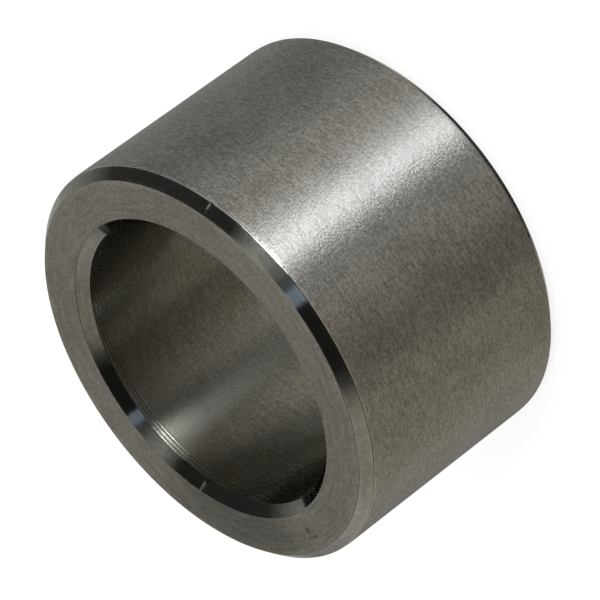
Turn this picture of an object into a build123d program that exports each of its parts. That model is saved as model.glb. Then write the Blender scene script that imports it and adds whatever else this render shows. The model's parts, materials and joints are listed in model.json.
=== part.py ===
from build123d import *
import os

# Spacer sleeve: a short steel ring, turned in one piece, that slides on a shaft and holds the two parts on
# either side of it a set distance apart. It stands on one end: its axis is +Z, and the origin is the middle
# of the lower end face.

# Driving dimensions, in millimetres
outside_diameter = 42.0
bore_diameter = 30.0
length = 26.0  # between the two end faces, the distance that the sleeve sets
rim_chamfer = 1.0  # leg of the 45 degree chamfer round the outside of each end
bore_chamfer = 1.0  # leg of the 45 degree chamfer at each mouth of the bore


def wall_section():
    """The half section of the ring in the XZ plane: a rectangle as thick as the wall and as high as the
    sleeve is long, with its two outer corners and its two inner corners cut off at 45 degrees."""
    bore_radius = bore_diameter / 2
    wall = outside_diameter / 2 - bore_radius
    with BuildSketch(Plane.XZ) as section:
        with Locations((bore_radius, 0)):
            Rectangle(wall, length, align=(Align.MIN, Align.MIN))
        corners = section.vertices().group_by(Axis.X)
        inner_corners, outer_corners = corners[0], corners[-1]
        chamfer(outer_corners, rim_chamfer)
        chamfer(inner_corners, bore_chamfer)
    return section.sketch


def turned_sleeve():
    """The wall section carried once round the Z axis, as the lathe makes it."""
    sleeve = revolve(wall_section(), axis=Axis.Z)
    sleeve.label = "sleeve"
    return sleeve


os.makedirs("parts", exist_ok=True)
export_step(turned_sleeve(), "parts/sleeve.step")
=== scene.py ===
# %% [markdown]
# # A spacer sleeve in turned steel
#
# A spacer sleeve is a short length of thick steel tube. It slides over a shaft or a bolt and keeps two parts
# a set distance apart. This lesson dresses one for the camera. The CAD model says how large it is, a mesh
# worked out as a surface of revolution gives it the soft corners that a lathe leaves, five steel finishes say
# which tool cut each surface, and a small studio lights it. Everything is in metres, in the frame of the CAD
# model: the sleeve stands on one end, and Z is its axis.

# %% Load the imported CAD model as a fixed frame
import json
import math

import bpy
import numpy as np
from mathutils import Matrix, Vector


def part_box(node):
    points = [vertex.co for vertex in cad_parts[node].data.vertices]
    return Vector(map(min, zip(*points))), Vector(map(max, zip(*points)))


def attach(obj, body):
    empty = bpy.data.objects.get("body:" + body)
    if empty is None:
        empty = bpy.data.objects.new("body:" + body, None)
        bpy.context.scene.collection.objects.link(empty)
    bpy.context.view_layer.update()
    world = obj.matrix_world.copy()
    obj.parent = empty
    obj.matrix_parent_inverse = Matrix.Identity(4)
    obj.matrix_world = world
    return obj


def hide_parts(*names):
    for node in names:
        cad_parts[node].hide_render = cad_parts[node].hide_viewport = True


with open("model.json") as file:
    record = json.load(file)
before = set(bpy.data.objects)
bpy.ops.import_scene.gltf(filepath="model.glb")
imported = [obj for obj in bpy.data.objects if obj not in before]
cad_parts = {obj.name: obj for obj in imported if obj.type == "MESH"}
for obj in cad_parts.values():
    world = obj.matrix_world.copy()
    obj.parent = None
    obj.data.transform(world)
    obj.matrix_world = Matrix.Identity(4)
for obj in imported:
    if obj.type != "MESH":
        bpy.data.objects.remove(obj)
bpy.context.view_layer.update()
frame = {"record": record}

# %% [markdown]
# ## Reading the sizes
#
# Nothing here is measured twice. The outside diameter and the length come from the CAD node's box, and the
# bore from the mount that the record states for the shaft. The bore's straight stretch is shorter than the
# sleeve by one chamfer at each mouth, so the chamfer comes from the frame as well. The CAD mesh is a prism
# of many flat sides, so its box can be a hair narrower than the true circle. The narrowest side sets the
# radius, so that the dressed sleeve never grows past the CAD model.

# %% Take the driving sizes from the frame
millimetre = 0.001
low, high = (Vector(corner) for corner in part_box("sleeve"))
length = high.z - low.z
outside_radius = min(high.x, high.y, -low.x, -low.y)
bore_mount = next(mount for mount in frame["record"]["mounts"] if mount["name"] == "bore")
bore_radius = bore_mount["dims"]["r_mm"] * millimetre
chamfer = (length - bore_mount["dims"]["length_mm"] * millimetre) / 2
for name, size in (("outside radius", outside_radius), ("bore radius", bore_radius), ("chamfer", chamfer)):
    print(name, "in mm:", round(size / millimetre, 3))

# %% [markdown]
# ## The section of the wall
#
# On a lathe the sleeve is one bar: the outside is turned, the hole is drilled and bored, the end is faced,
# the sharp corners are broken at 45 degrees, and a parting tool cuts the sleeve off. All of it turns about
# one axis, so the whole surface is one closed line, the section of the wall, carried round that axis. A
# boolean of two cylinders would give the same sharp shape, but a line that is worked out keeps every corner's
# softness in hand.
#
# No tool leaves a perfect corner, so each corner ends in a small arc, which catches a thread of light as a
# real edge does. Emery cloth held against the spinning bar has also eased the outside down a few hundredths
# of a millimetre over its last half millimetre. That shoulder is the bright line beside the rim.

# %% List the corners of the section
shoulder_reach = 0.45 * millimetre
shoulder_drop = 0.045 * millimetre

# Each side starts at a corner: its name, the corner's radius from the axis, its height, and its softness
sides = [
    ("lower_face", bore_radius + chamfer, low.z, 0.10 * millimetre),
    ("lower_rim", outside_radius - chamfer, low.z, 0.12 * millimetre),
    ("lower_shoulder", outside_radius - shoulder_drop, low.z + chamfer, 0.20 * millimetre),
    ("outside", outside_radius, low.z + chamfer + shoulder_reach, 5.0 * millimetre),
    ("upper_shoulder", outside_radius, high.z - chamfer - shoulder_reach, 5.0 * millimetre),
    ("upper_rim", outside_radius - shoulder_drop, high.z - chamfer, 0.20 * millimetre),
    ("upper_face", outside_radius - chamfer, high.z, 0.12 * millimetre),
    ("upper_mouth", bore_radius + chamfer, high.z, 0.10 * millimetre),
    ("bore", bore_radius, high.z - chamfer, 0.10 * millimetre),
    ("lower_mouth", bore_radius, low.z + chamfer, 0.10 * millimetre),
]
side_names = [side[0] for side in sides]
corners = np.array([side[1:3] for side in sides])
softness = np.array([side[3] for side in sides])
print("sides of the section:", ", ".join(side_names))

# %% [markdown]
# A corner turns the line by some angle. The arc that softens it starts one tangent length before the corner,
# which is the arc's radius times the tangent of half that angle, and its centre lies one radius off the line.
# A point close beside each arc keeps smooth shading from bending the flat next to it, and the first stretch
# of the bore has many points, for the rings that come next.

# %% Draw the section as one closed line with soft corners
arc_points = 6
support = 0.02 * millimetre
middle_points = dict(outside=16, bore=16, upper_rim=12, upper_mouth=12)
mouth_reach = 1.6 * millimetre
mouth_points = 44


def soft_section():
    """Gives the points of the section, the number of each point's side, and which points lie on an arc.

    A point of an arc is the centre, minus the inward direction times the radius times the cosine of the angle
    swept, plus the direction of arrival times the radius times its sine.
    """
    ahead = np.roll(corners, -1, axis=0) - corners
    leaving = ahead / np.linalg.norm(ahead, axis=1, keepdims=True)
    arriving = np.roll(leaving, 1, axis=0)
    turn = np.arccos(np.sum(arriving * leaving, axis=1))
    inward = np.stack([-arriving[:, 1], arriving[:, 0]], axis=1)
    start = corners - arriving * (softness * np.tan(turn / 2))[:, None]
    centre = start + inward * softness[:, None]
    swept = np.linspace(0, 1, arc_points)[None, :, None] * turn[:, None, None]
    arcs = centre[:, None] + softness[:, None, None] * (
        arriving[:, None] * np.sin(swept) - inward[:, None] * np.cos(swept))
    points, numbers, on_arc = [], [], []
    for number, name in enumerate(side_names):
        first, last = arcs[number, -1], arcs[(number + 1) % len(sides), 0]
        reach = np.linalg.norm(last - first)
        travel = np.linspace(0, reach, middle_points.get(name, 5) + 2)[1:-1]
        if name == "bore":
            travel = np.concatenate([np.linspace(0, mouth_reach, mouth_points), travel[travel > mouth_reach]])
        travel = np.concatenate([[support], travel[(travel > support) & (travel < reach - support)],
                                 [reach - support]])
        points += [arcs[number], first + (last - first) * (travel / reach)[:, None]]
        numbers.append(np.full(arc_points + len(travel), number))
        on_arc.append(np.repeat([True, False], [arc_points, len(travel)]))
    return np.concatenate(points), np.concatenate(numbers), np.concatenate(on_arc)


section, section_side, on_arc = soft_section()
along = np.cumsum(np.linalg.norm(np.diff(section, axis=0, prepend=section[-1:]), axis=1))
print("points round the section:", len(section), "of which on arcs:", int(on_arc.sum()))

# %% [markdown]
# ### Rings inside the mouth
#
# Where the boring bar entered it sprang a little and left a few shallow rings. They are a wave in the bore's
# radius whose height fades in and out, so the radius gets a sine times a bell. Real ones are 3 or 4 microns
# high. These are drawn higher and wider apart, so that they still show at arm's length.

# %% Add the rings to the bore
ring_pitch = 0.40 * millimetre
ring_height = 0.021 * millimetre
ring_depth = chamfer + 0.60 * millimetre
ring_spread = 0.38 * millimetre

depth = high.z - section[:, 1]
in_bore = (section_side == side_names.index("bore")) & ~on_arc
bell = np.exp(-((depth - ring_depth) / ring_spread) ** 2)
rings = in_bore * bell * np.sin(2 * np.pi * depth / ring_pitch) * ring_height
section[:, 0] += rings
print("highest ring, in mm:", round(float(np.abs(rings).max() / millimetre), 4))

# %% [markdown]
# ## Carrying the section round
#
# A surface of revolution is a grid. One parameter runs along the section and the other round the axis, and a
# point's place is (radius times cosine, radius times sine, height). The section is a closed line and the
# circle is closed too, so the grid joins itself both ways, like the skin of a ring: it has no seam and no
# pole.
#
# Bearings are counted from -Y, which faces the camera, towards -X. The spokes stand evenly, and closer where
# a small nick has to be drawn.

# %% Choose the spokes
even_spokes = 320
nick_spokes = 21
# Each nick: the side it crosses, its bearing in degrees, its width, length and depth
nicks = [
    ("upper_rim", -32.3, 0.20 * millimetre, 0.5 * millimetre, 0.070 * millimetre),
    ("upper_mouth", 144.5, 0.20 * millimetre, 0.6 * millimetre, 0.100 * millimetre),
    ("lower_shoulder", 22.6, 0.22 * millimetre, 0.35 * millimetre, 0.050 * millimetre),
]
nick_span = 1.6
spokes = np.concatenate([np.linspace(-180, 180, even_spokes, endpoint=False)] + [
    np.linspace(bearing - nick_span, bearing + nick_span, nick_spokes) for _, bearing, *_ in nicks])
spokes = np.radians(np.unique(spokes.round(4)))
print("spokes:", len(spokes))

# %% [markdown]
# ### Three nicks
#
# A sleeve that has rolled about in a box carries a few small dents. Each is a bell-shaped dip: it presses the
# surface along its own normal, deepest in the middle, fading round the axis and along the section.

# %% Work out how deep each point of the grid is pressed in
tangent = np.roll(section, -1, axis=0) - np.roll(section, 1, axis=0)
tangent /= np.linalg.norm(tangent, axis=1, keepdims=True)
outward = np.stack([tangent[:, 1], -tangent[:, 0]], axis=1)

pressed = np.zeros((len(section), len(spokes)))
for name, bearing, width, extent, nick_depth in nicks:
    middle = along[section_side == side_names.index(name)].mean()
    on_side = section[np.argmin(np.abs(along - middle)), 0]
    sideways = (spokes - math.radians(bearing)) * on_side / width
    lengthways = (along - middle) / extent
    pressed += nick_depth * np.exp(-lengthways[:, None] ** 4) * np.exp(-sideways[None, :] ** 2)
print("deepest nick, in mm:", round(float(pressed.max() / millimetre), 3))

# %% [markdown]
# Each face of the grid takes the finish of the tool that cut its side of the section, and its corners are
# listed in the order that turns it away from the metal.

# %% Build the mesh from the grid
finish_of_side = dict(
    lower_face="faced", lower_rim="chamfered", lower_shoulder="turned", outside="turned",
    upper_shoulder="turned", upper_rim="chamfered", upper_face="faced", upper_mouth="countersunk",
    bore="bored", lower_mouth="countersunk")
finish_names = sorted(set(finish_of_side.values()))


def turned(name):
    """Carries the section round the spokes and gives the mesh.

    The point of line point i on spoke j is at (-r sin b, -r cos b, h), where b is the spoke's bearing. Face
    (i, j) joins (i, j), (i + 1, j), (i + 1, j + 1) and (i, j + 1), because bearings run clockwise from above.
    """
    line = section[:, None] - pressed[:, :, None] * outward[:, None]
    radius, height = line[..., 0], line[..., 1]
    places = np.stack([-radius * np.sin(spokes), -radius * np.cos(spokes), height], axis=-1)
    rows, columns = pressed.shape
    i, j = np.meshgrid(np.arange(rows), np.arange(columns), indexing="ij")
    i_next, j_next = (i + 1) % rows, (j + 1) % columns
    faces = np.stack([i * columns + j, i_next * columns + j, i_next * columns + j_next, i * columns + j_next],
                     axis=-1)
    mesh = bpy.data.meshes.new(name)
    mesh.from_pydata(places.reshape(-1, 3).tolist(), [], faces.reshape(-1, 4).tolist())
    finish = np.array([finish_names.index(finish_of_side[side]) for side in side_names])[section_side]
    mesh.polygons.foreach_set("material_index", np.repeat(finish, columns).astype(np.int32))
    mesh.polygons.foreach_set("use_smooth", np.ones(len(mesh.polygons), dtype=bool))
    return mesh


mesh = turned("turned_sleeve")
print("faces:", len(mesh.polygons), "and points:", len(mesh.vertices))

# %% [markdown]
# ### What the mesh carries for its finishes
#
# Tool marks follow the surface, so the materials need to know how far along the section a point lies. That
# length is one attribute. A second one marks the upper outer corners, whose colour is made brighter, partly
# as wear from handling and partly as a painted highlight along the rim: it is 1 on their arcs and fades
# over a third of a millimetre to each side.

# %% Store both attributes on the mesh
# Where the colour is brightened: partly wear, partly a painted highlight along the rim
rubbed_highlight_reach = 0.35 * millimetre
outer_arcs = on_arc & np.isin(section_side, [side_names.index(name) for name in ("upper_rim", "upper_face")])
gap = np.abs(along[:, None] - along[None, outer_arcs]).min(axis=1)
rubbed_and_painted_highlight = np.clip(1 - gap / rubbed_highlight_reach, 0, 1)
for name, values in (("along", along), ("rubbed_and_painted_highlight", rubbed_and_painted_highlight)):
    layer = mesh.attributes.new(name, "FLOAT", "POINT")
    layer.data.foreach_set("value", np.repeat(values, len(spokes)).astype(np.float32))
    print(name, "runs from", round(float(values.min()), 5), "to", round(float(values.max()), 5))

# %% [markdown]
# The dressed sleeve rides with the CAD model's only body. It stands in for the CAD node, which stays hidden
# underneath for the physics.

# %% Put the sleeve in the scene
sleeve = bpy.data.objects.new("turned_sleeve", mesh)
bpy.context.scene.collection.objects.link(sleeve)
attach(sleeve, "root")
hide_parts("sleeve")

# %% [markdown]
# ## Helpers for node trees
#
# Two helpers are enough. One turns a colour as a painter writes it, in sRGB, into the linear light that
# Blender mixes. The other adds one node with its settings and its links.

# %% Turn hex colours to linear, and add one node


def colour(code):
    """Turns an sRGB hex code to linear red, green and blue, with an alpha of 1.

    Up to 0.04045 a channel is divided by 12.92. Above it, 0.055 is added, the sum is divided by 1.055 and
    raised to the power 2.4.
    """
    channels = [int(code[start:start + 2], 16) / 255 for start in (1, 3, 5)]
    linear = [c / 12.92 if c <= 0.04045 else ((c + 0.055) / 1.055) ** 2.4 for c in channels]
    return (*linear, 1.0)


def add(tree, kind, inputs=None, **settings):
    """Adds a node of a kind with its settings, and fills or links the sockets named in inputs.

    A value can be a number, a colour, a socket, or a whole node, which stands for its first output in use.
    """
    made = tree.nodes.new("ShaderNode" + kind)
    for name, value in settings.items():
        setattr(made, name, value)
    for socket, value in (inputs or {}).items():
        if isinstance(value, bpy.types.Node):
            value = next(output for output in value.outputs if output.enabled)
        if isinstance(value, bpy.types.NodeSocket):
            tree.links.new(value, made.inputs[socket])
        else:
            made.inputs[socket].default_value = value
    return made


print("bright steel in linear light:", [round(channel, 3) for channel in colour("#C0BFBD")])

# %% [markdown]
# ## The steel
#
# It is plain bright mild steel, with no plating and no paint. It is one metal all over, and its five finishes
# differ in what the tool left: how far a reflection spreads, and in which direction. They also differ by a
# shade more or less grey, and the darker grey of the bore and of the mouth chamfers is painted shade for the
# inside of the sleeve. Tool marks run round the axis on every side, and light spreads across them far more
# than along them. So a reflection is drawn out along the axis on the outside and in the bore, and along the
# radius on the ends. The shader's anisotropy says how much, and its tangent, which runs round Z, says which
# way.
#
# Three patterns vary the metal, each with a size in millimetres: tool marks that are long round the axis and
# thin across it, a fine crystal-like grain, and broad cloudy patches where the metal has dulled unevenly. A
# real feed mark is 0.05 to 0.1 mm wide, too fine to show at this distance, so the marks are about twice as
# wide. A noise keeps close to its middle value, a half, so the colour and the roughness run through their
# whole range over the middle part of it.

# %% Make one steel finish
mark_radius = (outside_radius + bore_radius) / 2
cloud_size = 5 * millimetre
grain_share = 0.56
cloud_share = 0.12
colour_span = (0.42, 0.58)
rough_span = (0.40, 0.60)
# How much brighter the upper outer corners are: partly wear, partly a painted highlight
rubbed_highlight_level = 1.2


def steel(name, pale, deep, rough, spread, mark, mark_height, grain, grain_height, painted_shade_and_spots=()):
    """Gives a steel material.

    The colour runs between pale and deep. rough is the roughness, and spread says how much further light goes
    across the marks than along them. mark is the length and width of a tool mark, and grain the size of the
    fine grain. Each dark patch is a place, a reach and a share of the light that it takes away: the broad
    ones are painted shade and the small ones are dark spots.
    """
    material = bpy.data.materials.new(name)
    material.use_nodes = True
    tree = material.node_tree
    tree.nodes.clear()

    # A place in the lay of the tool: round the axis in mark lengths, along the section in mark widths
    place = add(tree, "TexCoord").outputs["Object"]
    level_place = add(tree, "VectorMath", {0: place, 1: (1, 1, 0)}, operation="MULTIPLY")
    spoke = add(tree, "VectorMath", {0: level_place}, operation="NORMALIZE")
    round_axis = add(tree, "VectorMath", {0: spoke, "Scale": mark_radius / mark[0]}, operation="SCALE")
    travel = add(tree, "Attribute", attribute_name="along").outputs["Fac"]
    across = add(tree, "Math", {0: travel, 1: 1 / mark[1]}, operation="MULTIPLY")
    lift = add(tree, "CombineXYZ", {2: across})
    lay = add(tree, "VectorMath", {0: round_axis, 1: lift}, operation="ADD")

    marks = add(tree, "TexNoise", {"Vector": lay, "Scale": 1.0, "Detail": 3.0, "Roughness": 0.6})
    grains = add(tree, "TexNoise", {"Vector": place, "Scale": 1 / grain, "Detail": 3.0, "Roughness": 0.65})
    clouds = add(tree, "TexNoise", {"Vector": place, "Scale": 1 / cloud_size, "Detail": 2.0})
    fine = add(tree, "Mix", {0: grain_share, 2: marks.outputs[0], 3: grains.outputs[0]}, data_type="FLOAT")
    blend = add(tree, "Mix", {0: cloud_share, 2: fine, 3: clouds.outputs[0]}, data_type="FLOAT")

    tone = add(tree, "MapRange", {"Value": blend, "From Min": colour_span[0], "From Max": colour_span[1]})
    metal = add(tree, "Mix", {0: tone, 6: colour(deep), 7: colour(pale)}, data_type="RGBA")
    # Brighter colour on the upper outer corners: partly wear, partly a painted highlight along the rim
    wear_and_highlight = add(tree, "Attribute", attribute_name="rubbed_and_painted_highlight").outputs["Fac"]
    level = add(tree, "MapRange", {"Value": wear_and_highlight, "To Min": 1.0, "To Max": rubbed_highlight_level})
    # Broad patches of painted shade, and small dark spots
    for centre, reach, share in painted_shade_and_spots:
        away = add(tree, "VectorMath", {0: place, 1: centre}, operation="DISTANCE").outputs["Value"]
        drift = add(tree, "Math", {0: clouds.outputs[0], 1: reach, 2: away}, operation="MULTIPLY_ADD")
        fade = add(tree, "MapRange", {"Value": drift, "From Min": reach * 0.6, "From Max": reach * 1.5,
                                      "To Min": 1 - share, "To Max": 1.0}, interpolation_type="SMOOTHSTEP")
        level = add(tree, "Math", {0: level, 1: fade}, operation="MULTIPLY")
    toned = add(tree, "VectorMath", {0: metal, "Scale": level}, operation="SCALE")
    roughness = add(tree, "MapRange", {"Value": blend, "From Min": rough_span[0], "From Max": rough_span[1],
                                       "To Min": rough * 1.1, "To Max": rough * 0.9})
    furrows = add(tree, "Bump", {"Height": marks.outputs[0], "Distance": mark_height})
    pits = add(tree, "Bump", {"Height": grains.outputs[0], "Distance": grain_height, "Normal": furrows})
    shader = add(tree, "BsdfPrincipled", {
        "Base Color": toned, "Metallic": 1.0, "Roughness": roughness, "Normal": pits,
        "Anisotropic": spread, "Anisotropic Rotation": 0.25,
        "Tangent": add(tree, "Tangent", direction_type="RADIAL", axis="Z")})
    add(tree, "OutputMaterial", {"Surface": shader})
    print(name, "has", len(tree.nodes), "nodes")
    return material


# %% [markdown]
# ### Five finishes
#
# - **Turned outside**: marked round the axis by the turning tool and dulled by emery cloth, so one lamp
#   becomes a long band of light with a grain in it.
# - **Faced ends**: cut from the side, with fine concentric rings and a soft, even sheen. Two broad patches of
#   painted shade darken one part of the upper end, and two small dark spots lie on it.
# - **Chamfers**: a single pass of a sharp tool leaves them smooth, so they mirror the room almost as it is,
#   black beside white.
# - **Bored wall**: smoother than the outside, and a little darker. The darker grey is painted shade for the
#   inside of the bore.
# - **Mouth chamfers**: cut by a countersink, as smooth as the outer ones, and a darker grey, which is
#   painted shade inside the mouth.

# %% Finish the five surfaces


def on_upper_end(radius, bearing):
    """Gives a place on the upper end from its distance to the axis, and its bearing in degrees."""
    turn = math.radians(bearing)
    return (-radius * math.sin(turn), -radius * math.cos(turn), high.z)


# Two broad patches of painted shade on the upper end, then two small dark spots
painted_shade_and_spots = [
    (on_upper_end(18.0 * millimetre, 128), 13.0 * millimetre, 0.38),
    (on_upper_end(18.0 * millimetre, 155), 7.0 * millimetre, 0.16),
    (on_upper_end(17.8 * millimetre, 94.5), 0.45 * millimetre, 0.45),
    (on_upper_end(18.6 * millimetre, 92.8), 0.25 * millimetre, 0.35),
]
steels = dict(
    turned=steel("emery_turned_steel", "#C0BFBD", "#9D9C9A", 0.34, 1.0,
                 (0.9 * millimetre, 0.2 * millimetre), 0.006 * millimetre,
                 0.26 * millimetre, 0.022 * millimetre),
    faced=steel("faced_steel", "#B5B3AE", "#9B9994", 0.42, 0.5,
                (3.0 * millimetre, 0.18 * millimetre), 0.002 * millimetre,
                0.3 * millimetre, 0.005 * millimetre, painted_shade_and_spots),
    chamfered=steel("chamfer_cut_steel", "#B9B8B6", "#A5A4A2", 0.08, 0.3,
                    (4.0 * millimetre, 0.2 * millimetre), 0.0002 * millimetre,
                    0.5 * millimetre, 0.0003 * millimetre),
    # The bored wall's darker grey is painted shade for the inside of the bore
    bored=steel("bored_steel", "#A19F99", "#8D8B84", 0.27, 1.0,
                (2.0 * millimetre, 0.2 * millimetre), 0.002 * millimetre,
                0.3 * millimetre, 0.003 * millimetre),
    # A darker copy of the chamfer finish: its darker grey is painted shade inside the mouth
    countersunk=steel("countersunk_steel", "#A8A7A5", "#929190", 0.08, 0.3,
                      (4.0 * millimetre, 0.2 * millimetre), 0.0002 * millimetre,
                      0.5 * millimetre, 0.0003 * millimetre),
)
for name in finish_names:
    sleeve.data.materials.append(steels[name])

# %% [markdown]
# ## The floor
#
# The sleeve stands on a sheet of white paper. The paper is matt, so it keeps the soft shadow where the sleeve
# touches it, and it glows a little for the camera alone, as an overexposed backdrop does, so that it fades to
# plain white away from the sleeve. The steel doesn't see this floor: it mirrors the studio's grey cards,
# because over plain white paper a polished part loses its own shape. The paper lies a hair below the sleeve,
# so that the two never share a plane, and its back is clear, so that the sleeve's foot can be looked at too.

# %% Lay the floor
floor_half = 4.0
floor_height = low.z - 0.02 * millimetre
floor_mesh = bpy.data.meshes.new("floor")
floor_corners = [(-floor_half, -floor_half), (floor_half, -floor_half), (floor_half, floor_half),
                 (-floor_half, floor_half)]
floor_mesh.from_pydata([(x, y, floor_height) for x, y in floor_corners], [], [(0, 1, 2, 3)])
floor = bpy.data.objects.new("floor", floor_mesh)
bpy.context.scene.collection.objects.link(floor)
floor.visible_glossy = False

paper_glow = 1.12
camera_share = 0.7
paper = bpy.data.materials.new("white_paper")
paper.use_nodes = True
tree = paper.node_tree
tree.nodes.clear()
matt = add(tree, "BsdfDiffuse", {"Color": colour("#F4F4F2")})
glow = add(tree, "Emission", {"Color": (1, 1, 1, 1), "Strength": paper_glow})
rays = add(tree, "LightPath")
seen = add(tree, "Math", {0: rays.outputs["Is Camera Ray"], 1: rays.outputs["Is Glossy Ray"]},
           operation="MAXIMUM")
seen = add(tree, "Math", {0: seen, 1: rays.outputs["Is Transmission Ray"]}, operation="MAXIMUM")
share = add(tree, "Math", {0: seen, 1: camera_share}, operation="MULTIPLY")
front = add(tree, "MixShader", {0: share, 1: matt, 2: glow})
from_behind = add(tree, "NewGeometry").outputs["Backfacing"]
clear = add(tree, "BsdfTransparent")
add(tree, "OutputMaterial", {"Surface": add(tree, "MixShader", {0: from_behind, 1: front, 2: clear})})
floor.data.materials.append(paper)

# %% [markdown]
# ## The studio
#
# Bare metal has hardly a colour of its own: it shows the room. So the room is the lighting, as it is for
# anyone who photographs cutlery. Matt things are lit by an even white sky of strength 1. For mirrored rays
# the same world is a room of soft grey cards round the sleeve, in two rows.
#
# - The lower row, below eye level, is what the outside and the bore show. It changes slowly round the room.
# - The upper row is what the 45 degree chamfers show. Seen from the camera, they mirror a band of directions
#   that climbs from the horizon behind the sleeve to 58 degrees up in front of it. Black flags there draw
#   the rim as a black line, and one small blue-white gap gives it a glint.

# %% Find the bearing and the height of each direction
world = bpy.data.worlds.new("studio")
bpy.context.scene.world = world
world.use_nodes = True
world.cycles.sampling_method = "NONE"
tree = world.node_tree
tree.nodes.clear()

way = add(tree, "SeparateXYZ", {0: add(tree, "TexCoord").outputs["Generated"]})
east = add(tree, "Math", {0: way.outputs[0], 1: -1.0}, operation="MULTIPLY")
south = add(tree, "Math", {0: way.outputs[1], 1: -1.0}, operation="MULTIPLY")
radians = add(tree, "Math", {0: east, 1: south}, operation="ARCTAN2")
bearing = add(tree, "Math", {0: radians}, operation="DEGREES")
away = add(tree, "Math", {0: bearing}, operation="ABSOLUTE")
tilt = add(tree, "Math", {0: way.outputs[2]}, operation="ARCSINE")
height = add(tree, "Math", {0: tilt}, operation="DEGREES")
around = add(tree, "MapRange", {"Value": bearing, "From Min": -180.0, "From Max": 180.0})
print("nodes so far:", len(tree.nodes))

# %% [markdown]
# A card row is a colour ramp bent into a ring. Each stop is a bearing, a brightness where 1 is white, and a
# tint. The tints are what surrounds most benches: cool daylight, cream walls and brown wood.

# %% Hang the two rows of cards
cool, cream, warm = (0.98, 1.0, 0.93), (1.03, 1.0, 0.91), (1.05, 1.0, 0.88)
tan, brown, blue = (1.075, 1.0, 0.81), (1.12, 1.0, 0.82), (0.82, 0.98, 1.16)
lower_cards = [
    (-179, .42, warm), (-165, .38, cool), (-155, .38, cool), (-138, .39, cool), (-122, .33, cool),
    (-98, .31, cool), (-84, .38, cool), (-66, .66, cream), (-50, .76, warm), (-38, .45, cream),
    (-20, .36, cool), (-10, .45, cream), (0, .62, cream), (12, .56, warm), (24, .43, brown), (34, .34, brown),
    (50, .27, brown), (60, .42, tan), (80, .37, tan), (92, .36, tan), (110, .44, tan), (130, .46, warm),
    (145, .33, cream), (160, .22, cool), (179, .42, warm)]
upper_cards = [
    (-179, .30, warm), (-148, .30, cream), (-138, .22, cool), (-132, .13, cool), (-125, .045, cream),
    (-57, .03, cool), (-49, .20, cool), (-38, .43, cool), (-26, .30, cool), (-14, .12, cool),
    (-8, .12, blue), (-5, .34, blue), (4, .34, blue), (6, .018, cool), (50, .018, cool), (60, .07, warm),
    (69, .23, tan), (80, .34, tan), (110, .35, tan), (127, .46, warm), (140, .42, cream),
    (150, .30, cream), (179, .30, warm)]


def hang(cards):
    """Bends a list of cards into a ring round the studio and gives the node that shows them."""
    row = add(tree, "ValToRGB", {0: around})
    stops = row.color_ramp.elements
    while len(stops) < len(cards):
        stops.new(1.0)
    for stop, (card_bearing, brightness, tint) in zip(stops, cards):
        stop.position = card_bearing / 360 + 0.5
        stop.color = (*(brightness * part for part in tint), 1.0)
    return row


lower_row = hang(lower_cards)
upper_row = hang(upper_cards)
print("cards:", len(lower_cards), "below and", len(upper_cards), "above")

# %% [markdown]
# The chamfers' band of directions is a curve of height over bearing, and the upper row is shown near that
# curve only. Elsewhere above the horizon the room is dim in front and as bright as the lower row behind,
# where the upper end of the sleeve looks. Steeply below it is dim too, as it is under a bench.

# %% Mark the band that the chamfers mirror
band_reach = 6.0
band_fade = 11.0
band_heights = [(0, 58.4), (38, 55.4), (69, 47.6), (94, 37.0), (115, 25.2), (138, 8.5), (148, 0.0),
                (180, 0.0)]
band = add(tree, "FloatCurve", {1: add(tree, "Math", {0: away, 1: 180.0}, operation="DIVIDE")})
curve = band.mapping.curves[0]
while len(curve.points) < len(band_heights):
    curve.points.new(1.0, 0.0)
for point, (card_bearing, card_height) in zip(curve.points, band_heights):
    point.location = (card_bearing / 180, card_height / 90)
band.mapping.update()
band_height = add(tree, "Math", {0: band, 1: 90.0}, operation="MULTIPLY")
off_band = add(tree, "Math", {0: height, 1: band_height}, operation="SUBTRACT")
off_band = add(tree, "Math", {0: off_band}, operation="ABSOLUTE")
on_band = add(tree, "MapRange", {"Value": off_band, "From Min": band_fade, "From Max": band_reach},
              interpolation_type="SMOOTHSTEP")
print("the band is", 2 * band_reach, "degrees high, and the points of its curve are", len(curve.points))

# %% Dim the front and the foot, and join the rows into one room
front_dimmed = 0.08
foot_dimmed = 0.1
ceiling = (0.42, 0.42, 0.41, 1)
raised = add(tree, "MapRange", {"Value": height, "From Min": -4.0, "From Max": 10.0},
             interpolation_type="SMOOTHSTEP")
in_front = add(tree, "MapRange", {"Value": away, "From Min": 165.0, "From Max": 140.0},
               interpolation_type="SMOOTHSTEP")
dim_front = add(tree, "Math", {0: raised, 1: in_front}, operation="MULTIPLY")
front_level = add(tree, "MapRange", {"Value": dim_front, "To Min": 1.0, "To Max": front_dimmed})
foot_level = add(tree, "MapRange", {"Value": height, "From Min": -44.0, "From Max": -56.0,
                                    "To Min": 1.0, "To Max": foot_dimmed}, interpolation_type="SMOOTHSTEP")
room_level = add(tree, "Math", {0: front_level, 1: foot_level}, operation="MULTIPLY")
dimmed = add(tree, "VectorMath", {0: lower_row, "Scale": room_level}, operation="SCALE")
room = add(tree, "Mix", {0: on_band, 6: dimmed.outputs[0], 7: upper_row.outputs[0]}, data_type="RGBA")
ceiling_share = add(tree, "MapRange", {"Value": height, "From Min": 70.0, "From Max": 80.0},
                    interpolation_type="SMOOTHSTEP")
room = add(tree, "Mix", {0: ceiling_share, 6: room, 7: ceiling}, data_type="RGBA")

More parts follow.
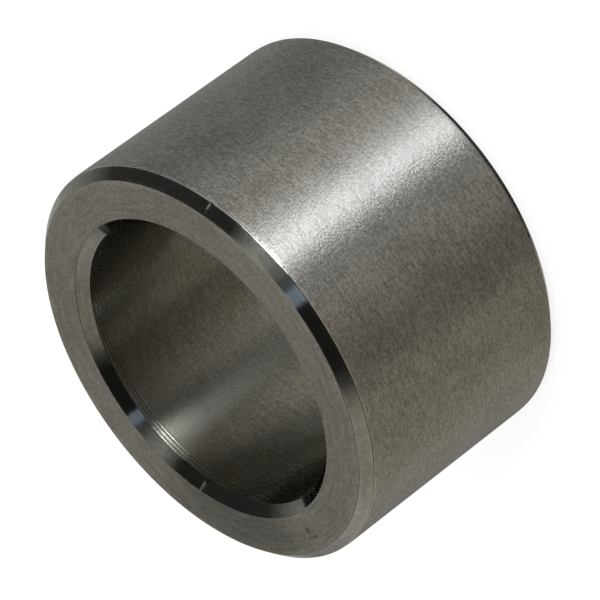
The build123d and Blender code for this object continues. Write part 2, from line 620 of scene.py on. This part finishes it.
# %% Show the room to mirrored rays and the plain sky to all others
rays = add(tree, "LightPath")
mirrored = add(tree, "Math", {0: rays.outputs["Is Glossy Ray"], 1: rays.outputs["Is Transmission Ray"]},
               operation="MAXIMUM")
sky = add(tree, "Background", {"Color": (1, 1, 1, 1), "Strength": 1.0})
cards = add(tree, "Background", {"Color": room, "Strength": 1.0})
add(tree, "OutputWorld", {"Surface": add(tree, "MixShader", {0: mirrored, 1: sky, 2: cards})})
print("nodes in the studio:", len(tree.nodes))

# %% [markdown]
# ### The window
#
# One tall window stands low beside the camera. Its pane is bright, and a faint wide panel round it does what
# a net curtain does, so that the band of light drawn down the turned outside has a bright core and soft
# shoulders. The top of the window is dimmer, and its light reaches deeper into the bore. A lamp is placed by
# its bearing and height seen from the sleeve, and its size is the angle that it fills.

# %% Set the three panels of the window
centre = Vector((0.0, 0.0, (low.z + high.z) / 2))
window_distance = 1.2


def panel(name, bearing_from, bearing_to, height_from, height_to, brightness, tint):
    """Adds a lamp that fills a span of bearings and heights, in degrees, as seen from the sleeve.

    A width is twice the distance times the tangent of half the span, and the power is the brightness times
    the area times pi.
    """
    turn = math.radians((bearing_from + bearing_to) / 2)
    rise = math.radians((height_from + height_to) / 2)
    wide = 2 * window_distance * math.tan(math.radians(bearing_to - bearing_from) / 2)
    tall = 2 * window_distance * math.tan(math.radians(height_to - height_from) / 2)
    lamp = bpy.data.lights.new(name, "AREA")
    lamp.shape = "RECTANGLE"
    lamp.size, lamp.size_y = wide, tall
    lamp.energy = brightness * wide * tall * math.pi
    lamp.color = tint
    holder = bpy.data.objects.new(name, lamp)
    towards = Vector((-math.sin(turn) * math.cos(rise), -math.cos(turn) * math.cos(rise), math.sin(rise)))
    holder.location = centre + towards * window_distance
    holder.rotation_euler = towards.to_track_quat("Z", "Y").to_euler()
    holder.visible_camera = False
    bpy.context.scene.collection.objects.link(holder)
    print(name, "is", round(wide, 3), "by", round(tall, 3), "metres, at", round(lamp.energy, 2), "watts")


panel("window_pane", -28, -16, 0, 13, 13.5, (0.95, 0.99, 1.0))
panel("window_top", -35, -18, 14, 36, 6.0, (0.96, 0.99, 1.0))
panel("window_curtain", -42, -11, 0, 13, 4.3, (1.0, 1.0, 0.98))

# %% [markdown]
# ## The camera
#
# A long lens from half a metre away keeps the two ends of the sleeve almost parallel. The camera looks down
# on it at about 32 degrees, and it is rolled, so that the standing sleeve lies across the picture with its
# open end to the lower left. It is aimed near the sleeve's middle.

# %% Set the camera
camera_data = bpy.data.cameras.new("camera")
camera_data.sensor_width = 36.0
camera_data.lens = 317.27
camera_data.clip_start = 0.01
camera_data.clip_end = 20.0
camera = bpy.data.objects.new("camera", camera_data)
bpy.context.scene.collection.objects.link(camera)
camera_height = math.radians(31.573)
camera_roll = math.radians(-126.56)
camera_distance = 0.49114
aim = Vector((-0.00036, -0.00011, 0.01283))
back = Vector((0.0, -math.cos(camera_height), math.sin(camera_height)))
camera.matrix_world = (Matrix.Translation(aim + back * camera_distance)
                       @ Matrix.Rotation(math.pi / 2 - camera_height, 4, "X")
                       @ Matrix.Rotation(camera_roll, 4, "Z"))
bpy.context.scene.camera = camera
bpy.context.scene.view_settings.view_transform = "Standard"
print("camera at", [round(value, 4) for value in camera.matrix_world.translation])
